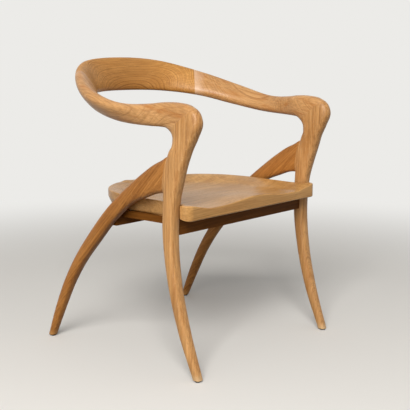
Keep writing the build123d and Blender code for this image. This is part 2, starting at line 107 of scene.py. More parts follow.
class Bench:
    """Adds the nodes of one shader tree, sets their values and links them."""

    NUMBER_RESULTS = ("DOT_PRODUCT", "LENGTH")

    def __init__(self, tree: bpy.types.NodeTree) -> None:
        """Start work on a tree.

        Args:
            tree: the shader tree to build in.
        """
        self.tree = tree

    @classmethod
    def emptied(cls, owner: bpy.types.Material | bpy.types.World) -> "Bench":
        """Start work on a material or a world, without the nodes that it comes with.

        Args:
            owner: the material or the world.

        Returns:
            The bench for its tree.
        """
        owner.use_nodes = True
        owner.node_tree.nodes.clear()
        return cls(owner.node_tree)

    def add(self, kind: str, feeds: dict[str | int, Feed] | None = None,
            **settings: object) -> bpy.types.Node:
        """Add a node.

        Args:
            kind: the node's type, without the ShaderNode prefix.
            feeds: what goes into its inputs, by name or number: an output to link, or a value.
            **settings: the node's own settings.

        Returns:
            The new node.
        """
        node = self.tree.nodes.new("ShaderNode" + kind)
        for name, value in settings.items():
            setattr(node, name, value)
        for key, value in (feeds or {}).items():
            self.feed(node.inputs[key], value)
        return node

    def feed(self, socket: Socket, value: Feed) -> None:
        """Link a socket to another one, or set its value.

        Args:
            socket: the input to fill.
            value: an output to link, or a plain value.
        """
        if isinstance(value, Socket):
            self.tree.links.new(value, socket)
        else:
            socket.default_value = value

    def math(self, operation: str, *terms: Feed) -> Socket:
        """Work out one number.

        Args:
            operation: the Math node's operation.
            *terms: its terms in order.

        Returns:
            The result's socket.
        """
        return self.add("Math", dict(enumerate(terms)), operation=operation).outputs[0]

    def weigh(self, value: Feed, *masks: tuple[Socket, Feed]) -> Socket:
        """Add masks to a value, each with its own weight.

        Args:
            value: the value without them.
            *masks: each mask with its weight.

        Returns:
            The result's socket.
        """
        for mask, weight in masks:
            value = self.math("MULTIPLY_ADD", mask, weight, value)
        return value

    def vector(self, operation: str, *terms: Feed) -> Socket:
        """Work out one vector, or the number that a dot product or a length is.

        Args:
            operation: the Vector Math node's operation.
            *terms: its terms in order.

        Returns:
            The result's socket.
        """
        node = self.add("VectorMath", dict(enumerate(terms)), operation=operation)
        return node.outputs["Value" if operation in self.NUMBER_RESULTS else "Vector"]

    def noise(self, place: Socket, waves: Waves, coloured: bool = False) -> Socket:
        """Add soft noise with its own scale on each axis.

        Args:
            place: where the noise is read.
            waves: the noise.
            coloured: whether it has a value for each axis instead of one for all.

        Returns:
            The noise's socket.
        """
        node = self.add("TexNoise", {"Vector": self.vector("MULTIPLY", place, waves.per_metre),
                                     "Scale": 1.0, "Detail": waves.layers},
                        noise_dimensions="3D")
        return node.outputs[1 if coloured else 0]

    def spread(self, value: Feed, ramp: Ramp) -> Socket:
        """Map a range of values onto another.

        Args:
            value: what is mapped.
            ramp: the two ranges.

        Returns:
            The mapped value's socket.
        """
        node = self.add("MapRange", {0: value, 1: ramp.low, 2: ramp.high, 3: ramp.to_low,
                                     4: ramp.to_high},
                        interpolation_type="SMOOTHSTEP" if ramp.smooth else "LINEAR")
        return node.outputs[0]

    def blend(self, share: Feed, first: Feed, second: Feed, how: str = "MIX") -> Socket:
        """Mix two colours.

        Args:
            share: how much of the second there is.
            first: the first colour.
            second: the second colour.
            how: the way they are mixed.

        Returns:
            The mixed colour's socket.
        """
        node = self.add("Mix", {0: share, 6: first, 7: second}, data_type="RGBA", blend_type=how)
        return node.outputs[2]

    def surface(self, feeds: dict[str, Feed], height: Socket, strength: float,
                depth: float) -> None:
        """End a material with its shader, whose normal comes from a bump.

        Args:
            feeds: what goes into the shader's other inputs.
            height: the height of the surface.
            strength: the bump's strength.
            depth: how far in metres a height of 1 is.
        """
        bump = self.add("Bump", {"Height": height, "Strength": strength, "Distance": depth})
        shader = self.add("BsdfPrincipled", {**feeds, "Normal": bump.outputs[0]})
        self.add("OutputMaterial", {"Surface": shader.outputs[0]})


def effect_group(name: str, takes: dict[str, str],
                 gives: dict[str, str]) -> tuple[Bench, dict[str, Socket], dict[str, Socket]]:
    """Start a shader node group.

    Args:
        name: the group's name.
        takes: its inputs by name, each a Float, a Vector or a Color.
        gives: its outputs, likewise.

    Returns:
        The bench that builds it, its input sockets by name, and its output sockets by name.
    """
    tree = bpy.data.node_groups.new(name, "ShaderNodeTree")
    for way, ports in (("INPUT", takes), ("OUTPUT", gives)):
        for port, kind in ports.items():
            tree.interface.new_socket(name=port, in_out=way, socket_type="NodeSocket" + kind)
    source = tree.nodes.new("NodeGroupInput")
    sink = tree.nodes.new("NodeGroupOutput")
    inputs = {port: source.outputs[port] for port in takes}
    outputs = {port: sink.inputs[port] for port in gives}
    return Bench(tree), inputs, outputs


class SawnWood:
    """The figure of solid wood: rings round a pith on the Z axis, pores, rays and tone.

    Lengths are in metres. A sway bends the rings by noise and a multiple of the board's wander.
    A cut turns noise into a mask, and a tone turns it into brightness.
    """

    PLACES = ("Place", "Grain")
    AMOUNTS = ("Ring Width", "Wander", "Heart", "Matt", "Rings", "Pores", "Rays", "Cloud",
               "Streaks", "Flame")
    COLOURS = ("Late Wood", "Early Wood", "Pore Colour", "Ray Colour", "Flame Colour")

    SWAYS = ((Waves((7, 7, 1.3), 1), 4.0), (Waves((34, 34, 4.5), 1), 0.64))
    NOISE_MIDDLE = (0.5, 0.5, 0.5)
    RAY_RADIUS = 0.3
    UNEVEN_WAVES, UNEVEN_RINGS = 75.0, 3.4
    RING_SEAM = 0.35
    RING_STOPS = ((0.06, 1.0), (0.22, 0.62), (0.45, 0.16), (0.9, 0.0))
    VIGOUR = Ramp(0.0, 1.0, 0.3, 1.0, smooth=False)
    PORE_WAVES, PORE_CUT = Waves((950, 950, 48), 1), Ramp(0.56, 0.7)
    PORES_IN_RING = Ramp(0.0, 0.8, 0.3, 1.0, smooth=False)
    RAY_WAVES, RAY_CUT = Waves((95, 1100, 85), 1), Ramp(0.6, 0.68)
    STREAK_WAVES, STREAK_TONE = Waves((230, 230, 5), 3), Ramp(0.0, 1.0, -1.0, 1.0, smooth=False)
    CLOUD_WAVES, CLOUD_TONE = Waves((16, 16, 2.2), 3), Ramp(0.0, 1.0, -1.1, 1.1, smooth=False)
    FLAME_WAVES, FLAME_CUT = Waves((60, 60, 8), 2), Ramp(0.46, 0.74)
    HEART_TONE = Ramp(0.0, 0.04, 0.8, 1.04)
    END_GRAIN_TONE = Ramp(0.55, 0.95, 1.0, 0.92)
    GREEN_POWER, BLUE_POWER = 1.25, 1.6
    EARLY_MATT, PORE_MATT, RAY_MATT = 0.06, 0.22, -0.08
    EARLY_HEIGHT, PORE_HEIGHT, STREAK_HEIGHT = -0.2, -0.7, 0.25

    def __init__(self) -> None:
        """Build the group."""
        takes = {**dict.fromkeys(self.PLACES, "Vector"), **dict.fromkeys(self.AMOUNTS, "Float"),
                 **dict.fromkeys(self.COLOURS, "Color")}
        self.bench, self.given, gives = effect_group(
            "sawn_wood", takes, {"Color": "Color", "Roughness": "Float", "Height": "Float"})
        self.tree = self.bench.tree
        self.place = self.given["Place"]
        bent = self.wandering_place()
        distance, around = self.round_the_pith(bent)
        early = self.early_wood(distance)
        pores = self.pores(early)
        rays = self.rays(distance, around)
        streak = self.bench.noise(bent, self.STREAK_WAVES)
        level = self.level(streak, distance)
        self.bench.feed(gives["Color"], self.colour(early, pores, rays, level))
        self.bench.feed(gives["Roughness"], self.bench.weigh(
            self.given["Matt"], (early, self.EARLY_MATT), (pores, self.PORE_MATT),
            (rays, self.RAY_MATT)))
        self.bench.feed(gives["Height"], self.bench.weigh(
            1.0, (early, self.EARLY_HEIGHT), (pores, self.PORE_HEIGHT),
            (streak, self.STREAK_HEIGHT)))

    def wandering_place(self) -> Socket:
        """The place, moved a little so that the rings wander as the tree grew.

        Returns:
            The moved place's socket.
        """
        bench = self.bench
        bent = self.place
        for waves, share in self.SWAYS:
            noise = bench.noise(self.place, waves, coloured=True)
            centred = bench.vector("SUBTRACT", noise, self.NOISE_MIDDLE)
            reach = bench.math("MULTIPLY", self.given["Wander"], share)
            shift = bench.add("VectorMath", {0: centred, "Scale": reach}, operation="SCALE")
            bent = bench.vector("ADD", bent, shift.outputs[0])
        return bent

    def round_the_pith(self, bent: Socket) -> tuple[Socket, Socket]:
        """Distance from the pith and length around it.

        Args:
            bent: the wandering place.

        Returns:
            The two sockets.
        """
        bench = self.bench
        axes = bench.add("SeparateXYZ", {0: bent}).outputs
        level_place = bench.add("CombineXYZ", {0: axes[0], 1: axes[1]}).outputs[0]
        angle = bench.math("ARCTAN2", axes[1], axes[0])
        return bench.vector("LENGTH", level_place), bench.math("MULTIPLY", angle, self.RAY_RADIUS)

    def early_wood(self, distance: Socket) -> Socket:
        """How much of the open, darker spring wood there is, with rings of uneven width.

        Args:
            distance: the distance from the pith.

        Returns:
            The mask's socket.
        """
        bench = self.bench
        uneven = bench.add("TexNoise", {"W": bench.math("MULTIPLY", distance, self.UNEVEN_WAVES),
                                        "Scale": 1.0, "Detail": 1.0}, noise_dimensions="1D")
        years = bench.math("DIVIDE", distance, self.given["Ring Width"])
        years = bench.weigh(years, (uneven.outputs[0], self.UNEVEN_RINGS))
        profile = bench.add("ValToRGB", {0: bench.math("FRACT", years)})
        stops = profile.color_ramp.elements
        for stop in stops:
            stop.color = (self.RING_SEAM, self.RING_SEAM, self.RING_SEAM, 1)
        for place, level in self.RING_STOPS:
            stops.new(place).color = (level, level, level, 1)
        vigour = bench.add("TexWhiteNoise", {"W": bench.math("FLOOR", years)},
                           noise_dimensions="1D").outputs["Value"]
        band = bench.add("SeparateColor", {0: profile.outputs[0]}).outputs[0]
        return bench.math("MULTIPLY", band, bench.spread(vigour, self.VIGOUR))

    def pores(self, early: Socket) -> Socket:
        """Fine open dashes along the grain, most of them in the spring wood.

        Args:
            early: the spring wood mask.

        Returns:
            The mask's socket.
        """
        bench = self.bench
        dashes = bench.spread(bench.noise(self.place, self.PORE_WAVES), self.PORE_CUT)
        return bench.math("MULTIPLY", dashes, bench.spread(early, self.PORES_IN_RING))

    def rays(self, distance: Socket, around: Socket) -> Socket:
        """Thin radial ribbons, which show as flecks where the wood is cut towards the pith.

        Args:
            distance: the distance from the pith.
            around: the length around it.

        Returns:
            The mask's socket.
        """
        bench = self.bench
        along = bench.add("SeparateXYZ", {0: self.place}).outputs[2]
        ribbon = bench.add("CombineXYZ", {0: distance, 1: around, 2: along}).outputs[0]
        return bench.spread(bench.noise(ribbon, self.RAY_WAVES), self.RAY_CUT)

    def level(self, streak: Socket, distance: Socket) -> Socket:
        """Brightness of the wood, with its clouds and streaks.

        The fibres' ends are darker than their sides, and the heart of the tree is darker than
        what grew later.

        Args:
            streak: fine streaks along the grain.
            distance: the distance from the pith.

        Returns:
            The value's socket.
        """
        bench, given = self.bench, self.given
        normal = bench.add("NewGeometry").outputs["Normal"]
        facing = bench.math("ABSOLUTE", bench.vector("DOT_PRODUCT", normal, given["Grain"]))
        bare = bench.spread(facing, self.END_GRAIN_TONE)
        cloud = bench.spread(bench.noise(self.place, self.CLOUD_WAVES), self.CLOUD_TONE)
        fine = bench.spread(streak, self.STREAK_TONE)
        level = bench.weigh(bare, (cloud, given["Cloud"]), (fine, given["Streaks"]))
        past_heart = bench.math("SUBTRACT", distance, given["Heart"])
        return bench.math("MULTIPLY", level, bench.spread(past_heart, self.HEART_TONE))

    def colour(self, early: Socket, pores: Socket, rays: Socket, level: Socket) -> Socket:
        """Mix the wood's colour.

        Args:
            early: the spring wood mask.
            pores: the pore mask.
            rays: the ray mask.
            level: the brightness, which darkens green and blue more than red.

        Returns:
            The colour's socket.
        """
        bench, given = self.bench, self.given
        rings = bench.math("MULTIPLY", early, given["Rings"])
        colour = bench.blend(rings, given["Late Wood"], given["Early Wood"])
        green = bench.math("POWER", level, self.GREEN_POWER)
        blue = bench.math("POWER", level, self.BLUE_POWER)
        shade = bench.add("CombineColor", {0: level, 1: green, 2: blue}).outputs[0]
        colour = bench.blend(1.0, colour, shade, "MULTIPLY")
        flame = bench.spread(bench.noise(self.place, self.FLAME_WAVES), self.FLAME_CUT)
        for mask, amount, tint in ((flame, "Flame", "Flame Colour"), (rays, "Rays", "Ray Colour"),
                                   (pores, "Pores", "Pore Colour")):
            colour = bench.blend(bench.math("MULTIPLY", mask, given[amount]), colour, given[tint])
        return colour


class GlueLine:
    """A hairline where a glued joint meets the surface, and a painted sheen patch beside it."""

    LINE = Ramp(0.3, 1.0, 1.0, 0.0)
    # PATCH is how far the painted sheen beside a joint reaches.
    PATCH = 0.035
    PATCH_WAVES, PATCH_FADE = Waves((60, 60, 60), 2), Ramp(PATCH / 2, PATCH * 1.6, 1.0, 0.0)

    def __init__(self) -> None:
        """Build the group."""
        bench, given, gives = effect_group(
            "glue_line", {"Place": "Vector", "Point": "Vector", "Across": "Vector",
                          "Width": "Float"}, {"Line": "Float", "Painted Sheen": "Float"})
        self.tree = bench.tree
        away = bench.vector("SUBTRACT", given["Place"], given["Point"])
        off = bench.math("ABSOLUTE", bench.vector("DOT_PRODUCT", away, given["Across"]))
        line = bench.spread(bench.math("DIVIDE", off, given["Width"]), self.LINE)
        uneven = bench.noise(given["Place"], self.PATCH_WAVES)
        bench.feed(gives["Line"], line)
        bench.feed(gives["Painted Sheen"],
                   bench.spread(bench.weigh(off, (uneven, self.PATCH)), self.PATCH_FADE))


class HandRub:
    """Where hands and cloth have polished the wood: soft patches, and the eased edges."""

    EDGE, EDGE_SAMPLES = 0.0015, 4
    EDGE_CUT = Ramp(0.86, 0.985, 1.0, 0.0)
    PATCH_WAVES, PATCH_CUT = Waves((11, 11, 11), 3), Ramp(0.35, 0.7)

    def __init__(self) -> None:
        """Build the group."""
        bench, given, gives = effect_group("hand_rub", {"Place": "Vector", "Patches": "Float"},
                                           {"Polish": "Float", "Edge": "Float"})
        self.tree = bench.tree
        patches = bench.spread(bench.noise(given["Place"], self.PATCH_WAVES), self.PATCH_CUT)
        rounded = bench.add("Bevel", {"Radius": self.EDGE}, samples=self.EDGE_SAMPLES).outputs[0]
        true = bench.add("NewGeometry").outputs["Normal"]
        bench.feed(gives["Polish"], bench.math("MULTIPLY", patches, given["Patches"]))
        bench.feed(gives["Edge"],
                   bench.spread(bench.vector("DOT_PRODUCT", rounded, true), self.EDGE_CUT))


@dataclass(frozen=True)
class SawnBoard:
    """How a piece was sawn: the grain's direction and a point on the log's pith, in metres.

    A log that grew oval has its rings closer together upwards, by the oval share. The heart is
    the radius of the log's darkest wood.
    """

    along: Triple
    pith: Triple
    ring_width: float
    wander: float
    oval: float = 1.0
    heart: float = 0.0

    def laid_out(self) -> tuple[Vector, Euler]:
        """Move and turn the log so that its pith is the Z axis.

        Returns:
            The shift and the turn for a Mapping node.
        """
        turn = Vector(self.along).to_track_quat("Z", "Y").to_matrix().transposed()
        shift = -(turn @ Vector(self.pith))
        shift.y *= self.oval
        return shift, turn.to_euler()


@dataclass(frozen=True)
class Joint:
    """A glued joint's plane, the same on both sides of the chair.

    The wood beside it may be painted paler: a painted sheen for the light that the turned grain
    throws back beside the joint.
    """

    point: Triple
    across: Triple
    strength: float
    width: float = 0.0005
    pale: float = 0.0


CREST_JOINT = Joint((0.22123, 0.17975, 0.71996), (-0.7186, 0.69542, 0.0), strength=0.3)
# The arms' ends get a painted sheen beside the crest joint, stronger on the left arm.
LEFT_ARM_END = replace(CREST_JOINT, pale=0.65)
RIGHT_ARM_END = replace(CREST_JOINT, pale=0.25)
MITRE = Joint((0.274, -0.158, 0.586), (0.0, 0.61566, 0.78801), strength=0.25)
ROOT_JOINT = Joint((0.279, -0.1835, 0.5095), (0.0, 0.98481, 0.17365), strength=0.4)


@dataclass(frozen=True)
class WoodFinish:
    """An oiled wood: its colours, how strong its figure is, and its sheen."""

    late_wood: Triple
    early_wood: Triple
    pore: Triple
    ray: Triple
    flame: Triple
    rings: float = 0.7
    pores: float = 0.55
    rays: float = 0.22
    cloud: float = 0.32
    streaks: float = 0.4
    flames: float = 0.35
    matt: float = 0.42
    sheen: float = 0.25


class Wood(Enum):
    """The chair's woods: oak by the tone that its boards have, with painted shade in the dark rail
    oak, and beech.
    """

    LEG = WoodFinish(
        late_wood=(195, 143, 86), early_wood=(145, 92, 43), pore=(100, 62, 28),
        ray=(220, 186, 140), flame=(174, 112, 50), streaks=0.6, flames=0.4, sheen=0.35)
    ARM = WoodFinish(
        late_wood=(197, 146, 90), early_wood=(146, 92, 42), pore=(106, 64, 28),
        ray=(226, 190, 158), flame=(172, 106, 40), rings=0.6, streaks=0.45, flames=0.65,
        matt=0.38, sheen=0.4)
    CREST = WoodFinish(
        late_wood=(202, 145, 77), early_wood=(114, 64, 18), pore=(96, 56, 20),
        ray=(210, 162, 100), flame=(172, 112, 48), rings=0.8, streaks=0.35)
    REAR = WoodFinish(
        late_wood=(176, 117, 57), early_wood=(130, 75, 28), pore=(84, 50, 22),
        ray=(204, 150, 88), flame=(152, 92, 38), rings=0.8, pores=0.9, streaks=0.55,
        flames=0.3, sheen=0.2)
    SEAT = WoodFinish(
        late_wood=(197, 148, 88), early_wood=(154, 105, 52), pore=(116, 76, 38),
        ray=(216, 174, 122), flame=(170, 118, 64), cloud=0.36, flames=0.5, matt=0.32,
        sheen=0.2)
    # Painted shade: far darker than the other oak, for the shade that falls under the seat on the
    # rails and bearers.
    RAIL = WoodFinish(
        late_wood=(118, 71, 24), early_wood=(90, 50, 15), pore=(66, 38, 13),
        ray=(140, 92, 40), flame=(102, 58, 17), sheen=0.05)
    BEECH = WoodFinish(
        late_wood=(212, 178, 136), early_wood=(198, 160, 116), pore=(176, 132, 92),
        ray=(184, 140, 100), flame=(206, 168, 124), rings=0.5, pores=0.25, rays=0.5,
        cloud=0.12, streaks=0.1, flames=0.1, sheen=0.2)


class OilShop:
    """Makes the wood materials from the shared groups."""

    BUMP_STRENGTH, BUMP_DEPTH = 0.5, 0.00018
    RUBBED_PATCHES = 0.5
    RUBBED_EDGE_SHARE = 0.18
    POLISH_MATT, EDGE_MATT = -0.1, -0.06
    FOOT_WAVES, FOOT_UNEVEN = Waves((240, 240, 60), 2), 0.006
    FOOT_PALENESS = Ramp(0.010, 0.028, 0.6, 0.0)

    def __init__(self) -> None:
        """Build the groups that every wood shares."""
        self.wood_group = SawnWood().tree
        self.glue_group = GlueLine().tree
        self.rub_group = HandRub().tree

    def oiled(self, name: str, wood: Wood, board: SawnBoard,
              joints: tuple[Joint, ...] = (), foot: bool = False) -> bpy.types.Material:
        """Make one board's material.

        Args:
            name: the material's name.
            wood: which wood it is.
            board: how the board was sawn.
            joints: the glued joints that meet its surface.
            foot: whether the piece stands on the floor.

        Returns:
            The material.
        """
        finish = wood.value
        material = bpy.data.materials.new(name)
        bench = Bench.emptied(material)
        place = bench.add("TexCoord").outputs["Object"]
        shift, turn = board.laid_out()
        straight = bench.add("Mapping", {"Vector": place, "Rotation": turn}).outputs[0]
        in_log = bench.add("Mapping", {"Vector": straight, "Location": shift,
                                       "Scale": (1.0, board.oval, 1.0)}).outputs[0]
        figure = bench.add("Group", {
            "Place": in_log, "Grain": Vector(board.along).normalized(),
            "Ring Width": board.ring_width, "Wander": board.wander, "Heart": board.heart,
            "Matt": finish.matt, "Rings": finish.rings, "Pores": finish.pores,
            "Rays": finish.rays, "Cloud": finish.cloud, "Streaks": finish.streaks,
            "Flame": finish.flames, "Late Wood": paint(finish.late_wood),
            "Early Wood": paint(finish.early_wood), "Pore Colour": paint(finish.pore),
            "Ray Colour": paint(finish.ray), "Flame Colour": paint(finish.flame),
        }, node_tree=self.wood_group).outputs
        rub = bench.add("Group", {"Place": place, "Patches": self.RUBBED_PATCHES},
                        node_tree=self.rub_group).outputs
        colour = figure["Color"]
        for joint in joints:
            colour = self.glued(bench, place, joint, colour, finish)
        if foot:
            colour = self.paler_leg_end(bench, place, colour, finish)
        edge = bench.math("MULTIPLY", rub["Edge"], self.RUBBED_EDGE_SHARE)
        colour = bench.blend(edge, colour, paint(finish.ray))
        rough = bench.weigh(figure["Roughness"], (rub["Polish"], self.POLISH_MATT),
                            (rub["Edge"], self.EDGE_MATT))
        bench.surface({"Base Color": colour, "Roughness": rough,
                       "Specular IOR Level": finish.sheen},
                      figure["Height"], self.BUMP_STRENGTH, self.BUMP_DEPTH)
        return material

    def glued(self, bench: Bench, place: Socket, joint: Joint, colour: Socket,
              finish: WoodFinish) -> Socket:
        """Darken a material along one joint, with a painted sheen beside it where the joint has
        one.

        Args:
            bench: the material's bench.
            place: the object coordinates.
            joint: the joint.
            colour: the colour so far.
            finish: the wood, whose pore colour the line takes, and whose ray colour the painted
            sheen beside it takes.

        Returns:
            The colour with the line.
        """
        axes = bench.add("SeparateXYZ", {0: place}).outputs
        folded = bench.add("CombineXYZ", {0: bench.math("ABSOLUTE", axes[0]), 1: axes[1],
                                          2: axes[2]}).outputs[0]
        glue = bench.add("Group", {"Place": folded, "Point": joint.point,
                                   "Across": Vector(joint.across).normalized(),
                                   "Width": joint.width}, node_tree=self.glue_group).outputs
        # Painted sheen: the wood beside the joint mixes towards the pale ray colour.
        if joint.pale:
            painted_sheen_share = bench.math("MULTIPLY", glue["Painted Sheen"], joint.pale)
            colour = bench.blend(painted_sheen_share, colour, paint(finish.ray))
        share = bench.math("MULTIPLY", glue["Line"], joint.strength)
        return bench.blend(share, colour, paint(finish.pore))

    def paler_leg_end(self, bench: Bench, place: Socket, colour: Socket,
                     finish: WoodFinish) -> Socket:
        """Make the wood paler towards the end of a leg.

        Args:
            bench: the material's bench.
            place: the object coordinates.
            colour: the colour so far.
            finish: the wood, whose ray colour shows there.

        Returns:
            The colour with the pale end.
        """
        height = bench.add("SeparateXYZ", {0: place}).outputs[2]
        uneven = bench.noise(place, self.FOOT_WAVES)
        height = bench.weigh(height, (uneven, self.FOOT_UNEVEN))
        return bench.blend(bench.spread(height, self.FOOT_PALENESS), colour, paint(finish.ray))


def dress(node: bpy.types.Object, material: bpy.types.Material) -> None:
    """Put one material in all of a piece's material slots.

    Args:
        node: the piece.
        material: its material.
    """
    if not node.material_slots:
        node.data.materials.append(material)
    for slot in node.material_slots:
        slot.material = material
    log.info("%s wears %s", node.name, material.name)


@dataclass
class Woodwork:
    """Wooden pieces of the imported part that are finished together."""

    shop: OilShop
    nodes: dict[str, bpy.types.Object]

    def oil(self, name: str, wood: Wood, board: SawnBoard, joints: tuple[Joint, ...] = (),
            foot: bool = False) -> None:
        """Give a piece its own oiled material.

        Args:
            name: the piece's name.
            wood: which wood it is.
            board: how it was sawn.
            joints: the glued joints that meet its surface.
            foot: whether it stands on the floor.
        """
        dress(self.nodes[name], self.shop.oiled(f"oak_{name}", wood, board, joints, foot))


@dataclass
class Bow(Woodwork):
    """The crest rail and the two arms."""

    crest: SawnBoard = SawnBoard((1.0, -0.09, 0.0), (0.03, 0.306, 0.703), ring_width=0.0034,
                                 wander=0.0016, oval=1.25, heart=0.060)
    left: SawnBoard = SawnBoard((-0.15, 0.97, 0.20), (0.38, 0.0, 0.64), 0.0040, 0.004)
    right: SawnBoard = SawnBoard((0.10, 0.97, 0.18), (-0.20, 0.0, 0.66), 0.0046, 0.004)

    def build(self) -> None:
        """Finish the crest rail and the arms."""
        self.oil("crest_rail", Wood.CREST, self.crest, (CREST_JOINT,))
        self.oil("left_arm", Wood.ARM, self.left, (LEFT_ARM_END, MITRE))
        self.oil("right_arm", Wood.ARM, self.right, (RIGHT_ARM_END, MITRE))


@dataclass
class Legs(Woodwork):
    """The four legs."""

    left_front: SawnBoard = SawnBoard((0.0, -0.02, 1.0), (0.31, -0.05, 0.0), 0.0042, 0.003)
    right_front: SawnBoard = SawnBoard((0.0, -0.03, 1.0), (-0.40, -0.09, 0.0), 0.0038, 0.002)
    left_rear: SawnBoard = SawnBoard((0.0, 0.75, -0.66), (0.33, 0.15, 0.43), 0.0048, 0.003)
    right_rear: SawnBoard = SawnBoard((0.0, 0.70, -0.71), (-0.31, 0.16, 0.41), 0.0048, 0.003)

    def build(self) -> None:
        """Finish the legs of both sides."""
        for side, front, rear in (("left", self.left_front, self.left_rear),
                                  ("right", self.right_front, self.right_rear)):
            self.oil(f"{side}_front_leg", Wood.LEG, front, (MITRE, ROOT_JOINT), foot=True)
            self.oil(f"{side}_rear_leg", Wood.REAR, rear, (ROOT_JOINT,), foot=True)


@dataclass
class Seat(Woodwork):
    """The four edge-glued boards of the dished seat, from the front."""

    boards: tuple[SawnBoard, ...] = (
        SawnBoard((1.0, 0.012, 0.01), (0.0, -0.21, 0.27), 0.0040, 0.008),
        SawnBoard((1.0, -0.02, 0.0), (0.0, -0.05, 0.30), 0.0036, 0.008),
        SawnBoard((1.0, 0.015, -0.01), (0.0, 0.02, 0.62), 0.0042, 0.008),
        SawnBoard((1.0, -0.01, 0.01), (0.0, 0.17, 0.26), 0.0038, 0.008),
    )
    line_strength: float = 0.3

    def build(self) -> None:
        """Finish the boards, with a fine line at each glued edge."""
        names = [f"seat_board_{number}" for number, _ in enumerate(self.boards, 1)]
        edges = [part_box(name)[1].y for name in names[:-1]]
        lines = tuple(Joint((0.0, edge, 0.0), (0.0, 1.0, 0.0), self.line_strength)
                      for edge in edges)
        for name, board in zip(names, self.boards):
            self.oil(name, Wood.SEAT, board, lines)


@dataclass
class Underframe(Woodwork):
    """Rails, bearers, and the hidden tenons and dowels."""

    rail_board: SawnBoard = SawnBoard((1.0, 0.0, 0.02), (0.0, 0.10, 0.22), 0.0034, 0.004)
    bearer_board: SawnBoard = SawnBoard((0.02, 1.0, 0.0), (0.12, 0.0, 0.20), 0.0034, 0.004)
    peg_board: SawnBoard = SawnBoard((0.0, 1.0, 0.3), (0.1, 0.0, 0.3), 0.003, 0.003)

    def build(self) -> None:
        """Finish the frame under the seat and its joinery, with one material for each kind."""
        # The rails and bearers take the oak with painted shade.
        for material, wood, board, names in (
                ("oak_rails_painted_shade", Wood.RAIL, self.rail_board, ("front_rail", "rear_rail")),
                ("oak_bearers_painted_shade", Wood.RAIL, self.bearer_board,
                 ("left_seat_bearer", "right_seat_bearer")),
                ("beech_pegs", Wood.BEECH, self.peg_board,
                 ("left_mitre_tenon", "right_mitre_tenon", "left_root_tenon",
                  "right_root_tenon", "crest_dowels", "bearer_dowels"))):
            finished = self.shop.oiled(material, wood, board)
            for name in names:
                dress(self.nodes[name], finished)


class Pick(Enum):
    """What is picked in a mesh, as Blender's selection modes call it."""

    EDGES = "EDGE"
    FACES = "FACE"


class Shaping:
    """Modelling by operators, with faces and edges picked by their height."""

    SLACK = 0.00003
    LEVEL = 0.99
    SMOOTH_ANGLE = 0.6

    @staticmethod
    def choose(piece: bpy.types.Object | None) -> None:
        """Select one piece alone and make it active, or select nothing.

        Args:
            piece: the piece, or None.
        """
        for thing in bpy.context.selected_objects:
            thing.select_set(False)
        if piece:
            piece.select_set(True)
            bpy.context.view_layer.objects.active = piece

    @staticmethod
    def pick(piece: bpy.types.Object, kind: Pick, height: float) -> None:
        """Select, in edit mode, the edges or the level faces at a height.

        Args:
            piece: the piece in edit mode.
            kind: edges or faces.
            height: their height in the piece's own space.
        """
        bpy.ops.mesh.select_mode(type=kind.value)
        mesh = bmesh.from_edit_mesh(piece.data)
        for group in (mesh.verts, mesh.edges, mesh.faces):
            for item in group:
                item.select_set(False)
        if kind is Pick.FACES:
            found = [face for face in mesh.faces if abs(face.normal.z) > Shaping.LEVEL
                     and abs(face.calc_center_median().z - height) < Shaping.SLACK]
        else:
            found = [edge for edge in mesh.edges
                     if all(abs(corner.co.z - height) < Shaping.SLACK for corner in edge.verts)]
        for item in found:
            item.select_set(True)
        mesh.select_flush_mode()
        bmesh.update_edit_mesh(piece.data)

    @staticmethod
    def rise(height: float) -> None:
        """Extrude what is selected straight up.

        Args:
            height: how far, in metres; less than zero goes down.
        """
        bpy.ops.mesh.extrude_region_move(TRANSFORM_OT_translate={"value": (0, 0, height)})

    @staticmethod
    def scale(share: float) -> None:
        """Scale what is selected about its middle, without a change of height.

        Args:
            share: the new width as a share of the old one.
        """
        bpy.ops.transform.resize(value=(share, share, 1))

    @staticmethod
    def settle(piece: bpy.types.Object) -> None:
        """Put a piece's place into its mesh and smooth its round sides.

        Args:
            piece: the piece.
        """
        Shaping.choose(piece)
        bpy.ops.object.transform_apply(location=True, rotation=True, scale=True)
        bpy.ops.object.shade_smooth_by_angle(angle=Shaping.SMOOTH_ANGLE)


